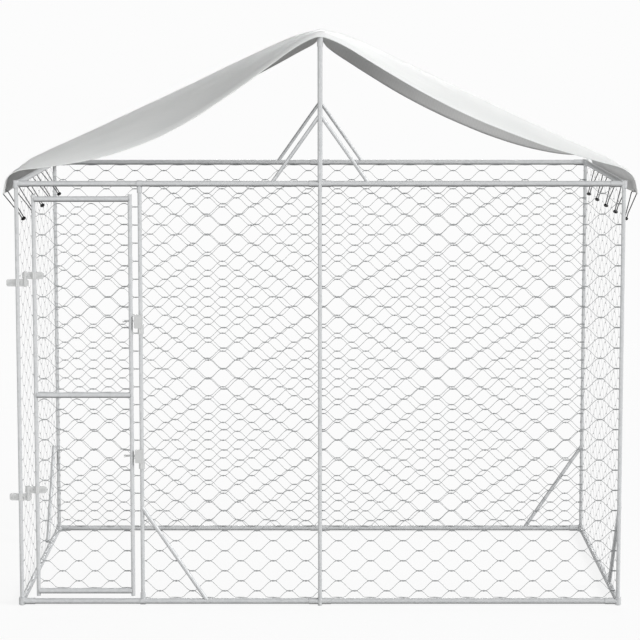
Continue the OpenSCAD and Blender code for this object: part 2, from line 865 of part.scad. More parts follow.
post_front_left();
post_front_right();
post_back_left();
post_back_right();
post_front_centre();
post_back_centre();
latch_post();
ridge_post_front();
ridge_post_back();
ridge_tube();
ridge_caps();
ridge_saddles();
rail_front_low_left();
rail_front_low_right();
rail_back_low_left();
rail_back_low_right();
rail_left_low();
rail_right_low();
rail_front_top_left();
rail_front_top_right();
rail_back_top_left();
rail_back_top_right();
rail_left_top();
rail_right_top();
elbows_low();
elbows_top();
rail_couplers();
latch_post_clamps();
post_feet();
ridge_stays();
foot_brace_front();
foot_brace_back();
foot_brace_left();
foot_brace_right();
net_front_left();
net_front_right();
net_back_left();
net_back_right();
net_left();
net_right();
roof_tarp();
tarp_eyelets();
bungee_cords();
bungee_balls();
door_hinge_stile();
door_latch_stile();
door_top_rail();
door_mid_rail();
door_low_rail();
door_net_upper();
door_net_lower();
stile_caps();
hinge_post_straps();
hinge_door_straps();
hinge_pins();
post_strap_bolts();
door_strap_bolts();
latch_keepers();
latch_bolt_upper();
latch_bolt_lower();
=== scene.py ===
import math
import bpy
import numpy as np
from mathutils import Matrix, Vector, noise


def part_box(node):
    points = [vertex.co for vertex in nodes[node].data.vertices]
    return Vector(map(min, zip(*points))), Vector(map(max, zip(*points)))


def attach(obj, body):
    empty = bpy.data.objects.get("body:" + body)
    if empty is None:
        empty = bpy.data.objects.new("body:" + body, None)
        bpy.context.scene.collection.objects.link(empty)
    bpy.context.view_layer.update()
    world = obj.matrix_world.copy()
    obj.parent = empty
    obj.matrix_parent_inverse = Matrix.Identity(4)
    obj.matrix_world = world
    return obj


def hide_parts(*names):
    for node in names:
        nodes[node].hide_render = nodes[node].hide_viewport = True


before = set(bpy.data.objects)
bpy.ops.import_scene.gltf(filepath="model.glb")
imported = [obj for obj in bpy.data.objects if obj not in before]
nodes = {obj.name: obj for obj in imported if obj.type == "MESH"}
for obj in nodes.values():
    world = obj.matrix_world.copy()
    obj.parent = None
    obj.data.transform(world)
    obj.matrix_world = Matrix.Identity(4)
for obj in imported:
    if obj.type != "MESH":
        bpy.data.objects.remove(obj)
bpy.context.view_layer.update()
scene = bpy.context.scene
mm = 0.001
print("frame loaded:", len(nodes), "pieces")

# main lines of the run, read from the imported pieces
postLow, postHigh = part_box("post_front_right")
halfWide = (postLow.x + postHigh.x) / 2
halfDeep = -(postLow.y + postHigh.y) / 2
postRadius = (postHigh.x - postLow.x) / 2
railLow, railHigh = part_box("rail_front_top_right")
eaveZ = (railLow.z + railHigh.z) / 2
sillLow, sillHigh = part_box("rail_front_low_right")
sillZ = (sillLow.z + sillHigh.z) / 2
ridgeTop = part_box("ridge_tube")[1].z


def toLinear(hexColour):
    channels = [int(hexColour[i:i + 2], 16) / 255 for i in (1, 3, 5)]
    return [c / 12.92 if c <= 0.04045 else ((c + 0.055) / 1.055) ** 2.4 for c in channels] + [1.0]


def addNode(tree, kind, links=None, **settings):
    node = tree.nodes.new(kind)
    for key, value in settings.items():
        setattr(node, key, value)
    for key, value in (links or {}).items():
        if isinstance(value, bpy.types.NodeSocket):
            tree.links.new(value, node.inputs[key])
        else:
            node.inputs[key].default_value = value
    return node


def blankMaterial(name):
    material = bpy.data.materials.new(name)
    material.use_nodes = True
    material.node_tree.nodes.clear()
    return material, material.node_tree


# camera and studio

cameraView = {
    "place": (0.0, -10.998, 2.961),  # metres; eye a little above the ridge
    "tiltDown": 5.93,                # degrees
    "lens": 117.2,
    "shiftY": -0.14,
}

studio = {
    "backdrop": "#fcfcfc",
    "ambient": 0.26,                 # sky light on the object
    "suns": {                        # from, level, angle in degrees
        "keyLight": ((0.80, -0.28, 0.46), 0.89, 24),     # from the right
        "frontLight": ((-0.60, -1.0, 0.05), 0.42, 20),
        "backLight": ((0.0, 1.0, 0.25), 0.32, 20),
    },
    "floorColour": "#c4c4c4",        # what the floor throws back up
    "floorGlow": 0.86,               # share of the floor that stays white in shadow
    "floorReach": 9.0,               # metres to the rim of the floor
    "fadeFrom": 0.35, "fadeTo": 0.95,    # shares of that reach between which the floor fades out
    "floorDrop": 0.5,                # mm under the feet
}


def makeCamera():
    data = bpy.data.cameras.new("kennelCamera")
    data.lens = cameraView["lens"]
    data.sensor_width = 36
    data.shift_y = cameraView["shiftY"]
    camera = bpy.data.objects.new("kennelCamera", data)
    camera.location = cameraView["place"]
    camera.rotation_euler = (math.radians(90 - cameraView["tiltDown"]), 0, 0)
    scene.collection.objects.link(camera)
    scene.camera = camera


def seesBackdrop(tree):
    path = addNode(tree, "ShaderNodeLightPath")
    direct = addNode(tree, "ShaderNodeMath",
                     {0: path.outputs["Is Camera Ray"], 1: path.outputs["Is Glossy Ray"]},
                     operation="MAXIMUM")
    return addNode(tree, "ShaderNodeMath", {0: direct.outputs[0], 1: path.outputs["Is Transmission Ray"]},
                   operation="MAXIMUM").outputs[0]


def makeSun(name, fromDirection, level, angle):
    data = bpy.data.lights.new(name, "SUN")
    data.energy = level * math.pi
    data.angle = math.radians(angle)
    lamp = bpy.data.objects.new(name, data)
    lamp.rotation_euler = Vector(fromDirection).to_track_quat("Z", "Y").to_euler()
    scene.collection.objects.link(lamp)


def makeStudio():
    world = bpy.data.worlds.new("paleStudio")
    scene.world = world
    world.use_nodes = True
    tree = world.node_tree
    tree.nodes.clear()
    sky = addNode(tree, "ShaderNodeBackground",
                  {"Color": toLinear("#ffffff"), "Strength": studio["ambient"]})
    shown = addNode(tree, "ShaderNodeBackground",
                    {"Color": toLinear(studio["backdrop"]), "Strength": 1.0})
    both = addNode(tree, "ShaderNodeMixShader",
                   {0: seesBackdrop(tree), 1: sky.outputs[0], 2: shown.outputs[0]})
    addNode(tree, "ShaderNodeOutputWorld", {"Surface": both.outputs[0]})
    for name, (fromDirection, level, angle) in studio["suns"].items():
        makeSun(name, fromDirection, level, angle)


def makeFloor():
    material, tree = blankMaterial("matt pale studio floor")
    reach = studio["floorReach"]
    place = addNode(tree, "ShaderNodeNewGeometry").outputs["Position"]
    far = addNode(tree, "ShaderNodeVectorMath", {0: place}, operation="LENGTH").outputs["Value"]
    fade = addNode(tree, "ShaderNodeMapRange",
                   {"Value": far, "From Min": studio["fadeFrom"] * reach,
                    "From Max": studio["fadeTo"] * reach},
                   interpolation_type="SMOOTHSTEP")
    bounce = addNode(tree, "ShaderNodeBsdfDiffuse", {"Color": toLinear(studio["floorColour"])})
    lit = addNode(tree, "ShaderNodeBsdfDiffuse", {"Color": toLinear(studio["backdrop"])})
    glow = addNode(tree, "ShaderNodeEmission", {"Color": toLinear("#ffffff")})
    white = addNode(tree, "ShaderNodeMixShader",
                    {0: studio["floorGlow"], 1: lit.outputs[0], 2: glow.outputs[0]})
    seen = addNode(tree, "ShaderNodeMixShader",
                   {0: seesBackdrop(tree), 1: bounce.outputs[0], 2: white.outputs[0]})
    clear = addNode(tree, "ShaderNodeBsdfTransparent")
    faded = addNode(tree, "ShaderNodeMixShader",
                    {0: fade.outputs[0], 1: seen.outputs[0], 2: clear.outputs[0]})
    addNode(tree, "ShaderNodeOutputMaterial", {"Surface": faded.outputs[0]})
    corners = 64
    turns = [2 * math.pi * i / corners for i in range(corners)]
    rim = [(reach * math.cos(a), reach * math.sin(a), -studio["floorDrop"] * mm) for a in turns]
    mesh = bpy.data.meshes.new("studioFloor")
    mesh.from_pydata(rim, [], [tuple(range(corners))])
    mesh.materials.append(material)
    floor = bpy.data.objects.new("studioFloor", mesh)
    scene.collection.objects.link(floor)


scene.view_settings.view_transform = "Standard"
makeCamera()
makeStudio()
makeFloor()
print("camera, light and floor placed")


# materials

# hot-dip galvanised steel tube: dull pale zinc with cloudy crystals and a faint fine grain
tubeFinish = {
    "name": "galvanised steel tube",
    "light": "#cfd0d1", "dark": "#bdbfc0",
    "metallic": 0.20, "roughness": (0.46, 0.62),
    "spangleMm": 14,                 # zinc crystals are 5 to 10 mm; drawn a little larger to show
    "cloudMm": 160, "grainMm": 3, "bumpMm": 0.05,
    "paintedUndersideShade": 0.30,               # painted shade: share of the base colour kept on faces turned down, for the shade under each tube
}
# zinc plating on pressed steel: smoother than the tubes, with finer crystals and grain
fittingFinish = {
    "name": "zinc plated pressed steel",
    "light": "#cecfce", "dark": "#bebfbf",
    "metallic": 0.20, "roughness": (0.38, 0.54),
    # the last number is painted shade: share of the base colour kept on faces turned down
    "spangleMm": 6, "cloudMm": 45, "grainMm": 1.6, "bumpMm": 0.04, "paintedUndersideShade": 0.6,
}
# galvanised drawn wire: thin zinc, darker than on the tubes and slightly cloudy
wireFinish = {
    "name": "galvanised chain link wire",
    "light": "#aeb0b1", "dark": "#9b9d9e",
    "metallic": 0.20, "roughness": (0.44, 0.60),
    # the last number is painted shade: share of the base colour kept on faces turned down
    "spangleMm": 9, "cloudMm": 120, "grainMm": 2, "bumpMm": 0.03, "paintedUndersideShade": 0.6,
}


def zincOnSteel(finish):
    material, tree = blankMaterial(finish["name"])
    place = addNode(tree, "ShaderNodeTexCoord").outputs["Object"]
    spangle = addNode(tree, "ShaderNodeTexVoronoi",
                      {"Vector": place, "Scale": 1 / (finish["spangleMm"] * mm)}, feature="F1")
    cloud = addNode(tree, "ShaderNodeTexNoise",
                    {"Vector": place, "Scale": 1 / (finish["cloudMm"] * mm),
                     "Detail": 4.0, "Roughness": 0.6})
    grain = addNode(tree, "ShaderNodeTexNoise",
                    {"Vector": place, "Scale": 1 / (finish["grainMm"] * mm), "Detail": 2.0})
    crystal = addNode(tree, "ShaderNodeSeparateColor", {"Color": spangle.outputs["Color"]})
    patchy = addNode(tree, "ShaderNodeMath", {0: crystal.outputs[0], 1: 0.45, 2: 0.0},
                     operation="MULTIPLY_ADD")
    cloudy = addNode(tree, "ShaderNodeMath", {0: cloud.outputs["Fac"], 1: 0.55, 2: patchy.outputs[0]},
                     operation="MULTIPLY_ADD")
    colour = addNode(tree, "ShaderNodeMix", {0: cloudy.outputs[0], 6: toLinear(finish["dark"]),
                                             7: toLinear(finish["light"])}, data_type="RGBA")
    low, high = finish["roughness"]
    rough = addNode(tree, "ShaderNodeMapRange",
                    {"Value": cloudy.outputs[0], "From Min": 0.2, "From Max": 0.8,
                     "To Min": high, "To Max": low})
    relief = addNode(tree, "ShaderNodeMath",
                     {0: spangle.outputs["Distance"], 1: 0.6, 2: grain.outputs["Fac"]},
                     operation="MULTIPLY_ADD")
    bump = addNode(tree, "ShaderNodeBump", {"Strength": 0.6, "Distance": finish["bumpMm"] * mm,
                                            "Height": relief.outputs[0]})
    # painted shade: the base colour darkens on faces that turn downward, standing in for the shade under
    # tubes, wires and fittings
    normal = addNode(tree, "ShaderNodeNewGeometry").outputs["Normal"]
    facing = addNode(tree, "ShaderNodeSeparateXYZ", {0: normal})
    paintedShade = addNode(tree, "ShaderNodeMapRange",
                      {"Value": facing.outputs["Z"], "From Min": -0.85, "From Max": -0.25,
                       "To Min": finish["paintedUndersideShade"], "To Max": 1.0}, interpolation_type="SMOOTHSTEP")
    shadedColour = addNode(tree, "ShaderNodeMix", {0: paintedShade.outputs[0], 6: (0, 0, 0, 1), 7: colour.outputs[2]},
                   data_type="RGBA")
    metal = addNode(tree, "ShaderNodeBsdfPrincipled",
                    {"Base Color": shadedColour.outputs[2], "Metallic": finish["metallic"],
                     "Specular Tint": toLinear("#bcbcbc"), "Roughness": rough.outputs[0],
                     "Normal": bump.outputs[0]})
    addNode(tree, "ShaderNodeOutputMaterial", {"Surface": metal.outputs[0]})
    return material


# laminated polyethylene tarpaulin: flat woven tapes under a thin matt coat, with small crinkles
sheetFinish = {
    "name": "laminated polyethylene tarpaulin",
    "light": "#eeefee", "dark": "#e4e6e5",
    "tapeMm": 9,                     # tapes are 2 to 3 mm wide; drawn coarser so the weave shows
    "crinkleMm": 70, "tapeBumpMm": 0.05, "crinkleBumpMm": 0.7,
    "roughness": (0.58, 0.74),
}
# the same sheet from below, drawn greyer than its top: painted shade on the underside
shadedUndersideFinish = {
    **sheetFinish,
    "name": "tarpaulin underside with painted shade",
    "light": "#d9d9d8", "dark": "#cfcfce",
}
waveUnit = 2 * math.pi / 20              # scale at which a band wave is one metre long


def wovenSheet(finish):
    material, tree = blankMaterial(finish["name"])
    flat = addNode(tree, "ShaderNodeUVMap", uv_map="flatCut").outputs[0]
    bandScale = waveUnit / (2 * finish["tapeMm"] * mm)    # one wave for two tapes
    warp = addNode(tree, "ShaderNodeTexWave", {"Vector": flat, "Scale": bandScale},
                   wave_type="BANDS", bands_direction="X")
    weft = addNode(tree, "ShaderNodeTexWave", {"Vector": flat, "Scale": bandScale},
                   wave_type="BANDS", bands_direction="Y")
    warpUp = addNode(tree, "ShaderNodeMath", {0: warp.outputs["Fac"], 1: 2.0, 2: -1.0},
                     operation="MULTIPLY_ADD")
    weftUp = addNode(tree, "ShaderNodeMath", {0: weft.outputs["Fac"], 1: 2.0, 2: -1.0},
                     operation="MULTIPLY_ADD")
    over = addNode(tree, "ShaderNodeMath", {0: warpUp.outputs[0], 1: weftUp.outputs[0]},
                   operation="MULTIPLY")
    crinkle = addNode(tree, "ShaderNodeTexNoise", {"Vector": flat, "Scale": 1 / (finish["crinkleMm"] * mm),
                                                   "Detail": 5.0, "Roughness": 0.55, "Distortion": 0.6})
    weathered = addNode(tree, "ShaderNodeTexNoise", {"Vector": flat, "Scale": 4.0, "Detail": 3.0})
    shade = addNode(tree, "ShaderNodeMath", {0: over.outputs[0], 1: 0.22, 2: weathered.outputs["Fac"]},
                    operation="MULTIPLY_ADD")
    colour = addNode(tree, "ShaderNodeMix", {0: shade.outputs[0], 6: toLinear(finish["dark"]),
                                             7: toLinear(finish["light"])}, data_type="RGBA")
    low, high = finish["roughness"]
    rough = addNode(tree, "ShaderNodeMapRange",
                    {"Value": crinkle.outputs["Fac"], "To Min": low, "To Max": high})
    fold = addNode(tree, "ShaderNodeBump", {"Strength": 0.7, "Distance": finish["crinkleBumpMm"] * mm,
                                            "Height": crinkle.outputs["Fac"]})
    weave = addNode(tree, "ShaderNodeBump", {"Strength": 0.8, "Distance": finish["tapeBumpMm"] * mm,
                                             "Height": over.outputs[0], "Normal": fold.outputs[0]})
    sheet = addNode(tree, "ShaderNodeBsdfPrincipled",
                    {"Base Color": colour.outputs[2], "Roughness": rough.outputs[0], "IOR": 1.5,
                     "Specular IOR Level": 0.02, "Normal": weave.outputs[0]})
    addNode(tree, "ShaderNodeOutputMaterial", {"Surface": sheet.outputs[0]})
    return material


# polyester braid over rubber: black, matt, fine crossing strands
cordFinish = {
    "name": "braided elastic cord",
    "light": "#2c2c2e", "dark": "#131315",
    "strandMm": 3.0, "bumpMm": 0.25,
}


def braidedCord(finish):
    material, tree = blankMaterial(finish["name"])
    flat = addNode(tree, "ShaderNodeUVMap", uv_map="flatCut").outputs[0]
    bandScale = waveUnit / (2 * finish["strandMm"] * mm)  # one wave for two strands
    strands = []
    for turn in (45, -45):
        slanted = addNode(tree, "ShaderNodeMapping",
                          {"Vector": flat, "Rotation": (0, 0, math.radians(turn))})
        strands.append(addNode(tree, "ShaderNodeTexWave", {"Vector": slanted.outputs[0], "Scale": bandScale},
                               wave_type="BANDS", bands_direction="X"))
    braid = addNode(tree, "ShaderNodeMath", {0: strands[0].outputs["Fac"], 1: strands[1].outputs["Fac"]},
                    operation="MULTIPLY")
    colour = addNode(tree, "ShaderNodeMix", {0: braid.outputs[0], 6: toLinear(finish["dark"]),
                                             7: toLinear(finish["light"])}, data_type="RGBA")
    bump = addNode(tree, "ShaderNodeBump", {"Strength": 0.8, "Distance": finish["bumpMm"] * mm,
                                            "Height": braid.outputs[0]})
    cloth = addNode(tree, "ShaderNodeBsdfPrincipled", {"Base Color": colour.outputs[2], "Roughness": 0.75,
                                                       "Normal": bump.outputs[0]})
    addNode(tree, "ShaderNodeOutputMaterial", {"Surface": cloth.outputs[0]})
    return material


# injection moulded plastics: fine matt grain and slight flow marks
ballFinish = {
    "name": "moulded black polypropylene",
    "light": "#141415", "dark": "#0c0c0d",
    "roughness": (0.42, 0.54),
    "grainMm": 1.2, "flowMm": 18, "bumpMm": 0.06,
}
capFinish = {
    **ballFinish,
    "name": "moulded grey polyethylene",
    "light": "#c3c4c5", "dark": "#b4b6b7",
    "roughness": (0.40, 0.52),
}


def mouldedPlastic(finish):
    material, tree = blankMaterial(finish["name"])
    place = addNode(tree, "ShaderNodeTexCoord").outputs["Object"]
    grain = addNode(tree, "ShaderNodeTexNoise",
                    {"Vector": place, "Scale": 1 / (finish["grainMm"] * mm), "Detail": 2.0})
    flow = addNode(tree, "ShaderNodeTexNoise",
                   {"Vector": place, "Scale": 1 / (finish["flowMm"] * mm), "Detail": 3.0})
    colour = addNode(tree, "ShaderNodeMix", {0: flow.outputs["Fac"], 6: toLinear(finish["dark"]),
                                             7: toLinear(finish["light"])}, data_type="RGBA")
    low, high = finish["roughness"]
    rough = addNode(tree, "ShaderNodeMapRange",
                    {"Value": flow.outputs["Fac"], "To Min": low, "To Max": high})
    bump = addNode(tree, "ShaderNodeBump", {"Strength": 0.4, "Distance": finish["bumpMm"] * mm,
                                            "Height": grain.outputs["Fac"]})
    plastic = addNode(tree, "ShaderNodeBsdfPrincipled",
                      {"Base Color": colour.outputs[2], "Roughness": rough.outputs[0], "IOR": 1.49,
                       "Specular IOR Level": 0.2, "Normal": bump.outputs[0]})
    addNode(tree, "ShaderNodeOutputMaterial", {"Surface": plastic.outputs[0]})
    return material


tubeSteel = zincOnSteel(tubeFinish)
fittingSteel = zincOnSteel(fittingFinish)
wireSteel = zincOnSteel(wireFinish)
tarpaulin = wovenSheet(sheetFinish)
shadedUnderside = wovenSheet(shadedUndersideFinish)
elastic = braidedCord(cordFinish)
blackPlastic = mouldedPlastic(ballFinish)
greyPlastic = mouldedPlastic(capFinish)

fittings = ("post_feet", "tarp_eyelets", "hinge_post_straps", "hinge_door_straps", "hinge_pins",
            "post_strap_bolts", "door_strap_bolts", "latch_keepers", "latch_bolt_upper", "latch_bolt_lower")
for nodeName, piece in nodes.items():
    piece.data.materials.clear()
    if nodeName in fittings:
        piece.data.materials.append(fittingSteel)
    elif nodeName == "stile_caps":
        piece.data.materials.append(greyPlastic)
    elif nodeName == "ridge_caps":
        piece.data.materials.append(blackPlastic)
    else:
        piece.data.materials.append(tubeSteel)
print("materials made and set on the frame")


# meshes

def makePiece(name, verts, faces, material, body, replaced=(), uvs=None):
    mesh = bpy.data.meshes.new(name)
    mesh.from_pydata([tuple(v) for v in verts], [], faces)
    if uvs is not None:
        layer = mesh.uv_layers.new(name="flatCut")
        for loop in mesh.loops:
            layer.data[loop.index].uv = uvs[loop.vertex_index]
    mesh.materials.append(material)
    mesh.shade_smooth()
    mesh.update()
    piece = bpy.data.objects.new(name, mesh)
    scene.collection.objects.link(piece)
    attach(piece, body)
    if replaced:
        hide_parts(*replaced)
    return piece


def sweep(path, radius, sides, across):
    line = np.asarray(path, float)
    radius = np.broadcast_to(radius, len(line))[:, None, None]
    along = np.gradient(line, axis=0)
    along /= np.linalg.norm(along, axis=1)[:, None]
    side = np.asarray(across, float) - (along @ np.asarray(across, float))[:, None] * along
    side /= np.linalg.norm(side, axis=1)[:, None]
    other = np.cross(along, side)
    turns = np.arange(sides) * 2 * math.pi / sides
    ring = (line[:, None, :] + radius * (np.cos(turns)[None, :, None] * side[:, None, :]
                                         + np.sin(turns)[None, :, None] * other[:, None, :]))
    count = len(line)
    faces = [(i * sides + j, i * sides + (j + 1) % sides,
              (i + 1) * sides + (j + 1) % sides, (i + 1) * sides + j)
             for i in range(count - 1) for j in range(sides)]
    faces.append(tuple(reversed(range(sides))))
    faces.append(tuple((count - 1) * sides + j for j in range(sides)))
    return ring.reshape(-1, 3), faces


def gather(parts):
    verts, faces, start = [], [], 0
    for partVerts, partFaces in parts:
        verts.append(np.asarray(partVerts))
        faces += [tuple(i + start for i in face) for face in partFaces]
        start += len(partVerts)
    return np.concatenate(verts), faces


# chain link: each wire is a flattened spiral that runs across and clasps the next at its crests

chainLink = {
    "meshWide": 163.2, "meshHigh": 103.1,    # mm, knot to knot
    "wire": 2.5, "sideWire": 1.0,            # mm
    "clasp": 1.9,                            # mm a crest reaches past the row line
    "flatten": 0.008,                        # rounds the crests
    "knuckle": 1.10, "knuckleLong": 14,      # share and mm; thicker where it turns through the next wire
    "depth": 12.15, "swing": 1.75,           # mm behind the tube plane, and to each side of it
    "turnover": 0.25,                        # how softly a wire passes from back to front at a crest
    "leastRow": 0.3,                         # least share of a row, at a rail, that still gets a wire
    "stepsPerMesh": 14, "fewestSteps": 8, "sides": 5,
    "hookFrom": -12, "hookTurn": 35,         # degrees a wire end turns round its post
    "hookSteps": 9, "hookGap": 0.2,          # mm between hook and post
    "hookFree": 75,                          # mm kept free of hooks at fittings
}
frontKnot = (-72, 120.2)                     # mm, one knot of the front net
backKnot = (-16.2, 174.2)                    # mm, along the back wall as seen from behind
sideKnot = (0, 174.8)                        # mm, puts a mesh round each middle bungee

latchPost = sum(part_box("latch_post")[i].x for i in (0, 1)) / 2
hingeStile = sum(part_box("door_hinge_stile")[i].x for i in (0, 1)) / 2
latchStile = sum(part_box("door_latch_stile")[i].x for i in (0, 1)) / 2
keeperZ = [sum(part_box(bolt)[i].z for i in (0, 1)) / 2 for bolt in ("latch_bolt_upper", "latch_bolt_lower")]
strapLow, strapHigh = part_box("hinge_door_straps")
strapZ = [strapLow.z, strapHigh.z]

walls = {                                    # origin, along, inward
    "front": ((0, -halfDeep), (1, 0), (0, 1)),
    "back": ((0, halfDeep), (-1, 0), (0, -1)),
    "right": ((halfWide, 0), (0, 1), (-1, 0)),
    "left": ((-halfWide, 0), (0, -1), (1, 0)),
}
# node, body, wall, knot, post at the low end, post at the high end, heights of fittings
netRows = (
    ("net_front_left", "frame", "front", frontKnot, latchPost, None, keeperZ),
    ("net_front_right", "frame", "front", frontKnot, None, halfWide, ()),
    ("net_back_left", "frame", "back", backKnot, None, halfWide, ()),
    ("net_back_right", "frame", "back", backKnot, -halfWide, None, ()),
    ("net_right", "frame", "right", sideKnot, -halfDeep, halfDeep, ()),
    ("net_left", "frame", "left", sideKnot, -halfDeep, halfDeep, ()),
    ("door_net_upper", "door", "front", frontKnot, hingeStile, latchStile, strapZ + keeperZ),
    ("door_net_lower", "door", "front", frontKnot, hingeStile, latchStile, strapZ + keeperZ),
)


def wireLine(low, high, zLow, zHigh, rowZ, knotU, postLowU, postHighU, fittingZ):
    wide, rowHigh = chainLink["meshWide"] * mm, chainLink["meshHigh"] * mm / 2
    halfWire = chainLink["wire"] * mm / 2
    count = max(chainLink["fewestSteps"], int((high - low) / wide * chainLink["stepsPerMesh"]))
    u = np.linspace(low, high, count)
    phase = (u - knotU) * 2 * math.pi / wide
    bend = chainLink["flatten"]
    wave = -(np.cos(phase) - bend * np.cos(3 * phase)) / (1 - bend)
    z = rowZ + rowHigh / 2 + (rowHigh / 2 + chainLink["clasp"] * mm) * wave
    z = np.clip(z, zLow + halfWire, zHigh - halfWire)
    slope = np.sin(phase)
    steepness = np.sqrt(slope ** 2 + chainLink["turnover"] ** 2)
    depth = (chainLink["depth"] - chainLink["swing"] * slope / steepness) * mm
    line = [tuple(p) for p in np.stack([u, depth, z], 1)]
    free = chainLink["hookFree"] * mm
    ends = (("low", postLowU, line[0]), ("high", postHighU, line[-1]))
    for which, post, end in ends:
        if post is None or min(abs(end[2] - f) for f in (*fittingZ, sillZ, eaveZ)) < free:
            continue
        outward = -1 if which == "low" else 1
        radius = postRadius + halfWire + chainLink["hookGap"] * mm
        turns = np.linspace(chainLink["hookFrom"], chainLink["hookTurn"], chainLink["hookSteps"])
        hook = [(post + outward * radius * math.sin(a), radius * math.cos(a), end[2])
                for a in np.radians(turns)]
        line = line + hook if which == "high" else hook[::-1] + line
    return line


def makeNet(node, body, wall, knot, postLowU, postHighU, fittingZ):
    (originX, originY), along, inward = walls[wall]
    low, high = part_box(node)
    uLow, uHigh = sorted((corner.x - originX) * along[0] + (corner.y - originY) * along[1]
                         for corner in (low, high))
    if postLowU is None:
        uLow = 0.0                           # meets the next net behind the centre post
    if postHighU is None:
        uHigh = 0.0
    wide, rowHigh = chainLink["meshWide"] * mm, chainLink["meshHigh"] * mm / 2
    first = math.floor((low.z - knot[1] * mm) / rowHigh)
    last = math.ceil((high.z - knot[1] * mm) / rowHigh)
    gauge = chainLink["sideWire" if wall in ("left", "right") else "wire"]
    wires = []
    for row in range(first, last):
        rowZ = knot[1] * mm + row * rowHigh
        if min(rowZ + rowHigh, high.z) - max(rowZ, low.z) < chainLink["leastRow"] * rowHigh:
            continue
        knotU = knot[0] * mm + (wide / 2 if row % 2 else 0)
        line = wireLine(uLow, uHigh, low.z, high.z, rowZ, knotU, postLowU, postHighU, fittingZ)
        placed = [(originX + u * along[0] + d * inward[0], originY + u * along[1] + d * inward[1], z)
                  for u, d, z in line]
        fromCrest = np.array([(u - knotU + wide / 4) % (wide / 2) - wide / 4 for u, d, z in line])
        swell = chainLink["knuckle"] * np.exp(-(fromCrest / (chainLink["knuckleLong"] * mm)) ** 2)
        wires.append(sweep(placed, gauge * mm / 2 * (1 + swell), chainLink["sides"], (0, 0, 1)))
    verts, faces = gather(wires)
    makePiece("chain_" + node, verts, faces, wireSteel, body, (node,))
    return len(wires)


netWires = sum(makeNet(*row) for row in netRows)
print("chain link woven:", netWires, "wires")


# roof sheet: half section from the ridge over the eave to the hem, with the sag of its free edges

roofSheet = {                                # mm
    "over": 60,                              # past the posts, front and back
    "slopeEnd": 60, "slopeEndZ": 108,        # where the slope ends, inside the post and above the eave
    "ridgeRound": 120, "ridgeGap": 0.3, "ridgeFlat": 17,
    "dip": 10,                               # of each slope between ridge and eave
    "hemOut": 53, "hemDrop": 48,
    "foldIn": 9, "foldUp": 4, "bendReach": 62, "bendPull": 0.75,
    "sag": {(-1, -1): 180, (1, -1): 100, (-1, 1): 85, (1, 1): 145},    # by side and end
    "sagLost": 0.35,                         # share of the sag that is lost by the eave
    "belly": {-1: 1.13, 1: 1.0},             # over 1 moves the sag of the front edge toward the eave
    "lip": {-1: 24, 1: 60}, "lipFrom": 4,    # droop past the ridge tube, front and back
    "thick": 1.8, "hemThick": 1.4, "hemWide": 38,
    "eyeUp": 10, "eyeHalf": 6, "eyeStep": 355, "flapStop": 30,
    "pull": 4.0, "pullUp": 90, "pullWide": 36, "pullLong": 260,   # tension folds above the eyelets
    "crease": 4.0, "creaseLong": 420,
    "ridgeClear": 30, "ridgeEase": 120,      # beside the ridge without folds, and over which they come in
    "streak": 2.4, "streakWide": 95,         # soft folds that run from the ridge down to the eave
    "rowStep": 20, "lipSteps": 6, "slopeSteps": 60, "bendSteps": 14,
    "crowding": 1.25,                        # over 1 sets the points closer together near the ridge
}
eyeY = [i * roofSheet["eyeStep"] * mm for i in range(-2, 3)]
roofEnd = halfDeep + roofSheet["over"] * mm
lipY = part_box("ridge_tube")[1].y + roofSheet["lipFrom"] * mm
slopeX = halfWide - roofSheet["slopeEnd"] * mm
hem = np.array([halfWide + roofSheet["hemOut"] * mm, eaveZ - roofSheet["hemDrop"] * mm])
fold = np.array([hem[0] - roofSheet["foldIn"] * mm, eaveZ + roofSheet["foldUp"] * mm])
flapAlong = (hem - fold) / np.linalg.norm(hem - fold)
flapOut = np.array([-flapAlong[1], flapAlong[0]])
sheetTop = ridgeTop + roofSheet["ridgeGap"] * mm
ridgeRound = roofSheet["ridgeRound"] * mm
slopeFall = (sheetTop - eaveZ - roofSheet["slopeEndZ"] * mm) / (math.hypot(slopeX, ridgeRound) - ridgeRound)
slopeDip = roofSheet["dip"] * mm


def slopeZ(x):
    share = x / slopeX
    straight = sheetTop - slopeFall * (math.hypot(x, ridgeRound) - ridgeRound)
    return straight - 4 * slopeDip * share * (1 - share)


def eaveBend(t):
    reach = roofSheet["bendReach"] * mm
    a = np.array([slopeX, slopeZ(slopeX)])
    b = a + np.array([reach, -reach * (slopeFall - 4 * slopeDip / slopeX)])
    c = fold - (hem - fold) * roofSheet["bendPull"]
    return (1 - t) ** 3 * a + 3 * t * (1 - t) ** 2 * b + 3 * t * t * (1 - t) * c + t ** 3 * fold


def halfSection():
    steps = roofSheet["slopeSteps"]
    stops = [slopeX * (i / steps) ** roofSheet["crowding"] for i in range(steps + 1)]
    points = [np.array([x, slopeZ(x)]) for x in stops]
    points += [eaveBend(i / roofSheet["bendSteps"]) for i in range(1, roofSheet["bendSteps"] + 1)]
    up, half = roofSheet["eyeUp"] * mm, roofSheet["eyeHalf"] * mm
    rises = (roofSheet["flapStop"] * mm, up + half, up, up - half, 0.0)
    points += [hem - rise * flapAlong for rise in rises]
    return points


def edgeSag(x, y):
    flat = roofSheet["ridgeFlat"] * mm / slopeX
    t = max(min(abs(x) / fold[0], 1) - flat, 0) / (1 - flat)
    k = t ** roofSheet["belly"][-1 if x < 0 else 1] if y < 0 else t
    belly = 4 * k * (1 - k)
    end = -1 if y < 0 else 1
    sag = roofSheet["sag"][(-1 if x < 0 else 1, end)] * mm
    past = max(abs(y) - lipY, 0) / (roofEnd - lipY)
    lip = roofSheet["lip"][end] * mm * past ** 1.5 * ((1 - t) ** 2 if y < 0 else 1 - t ** 6)
    power = 2 + 2 * t ** 3 if y < 0 else 3.5     # a higher power keeps the sag nearer the edge
    hang = sag * (belly if y < 0 else math.sqrt(belly)) * (1 - roofSheet["sagLost"] * t ** 3)
    return hang * (abs(y) / roofEnd) ** power + lip


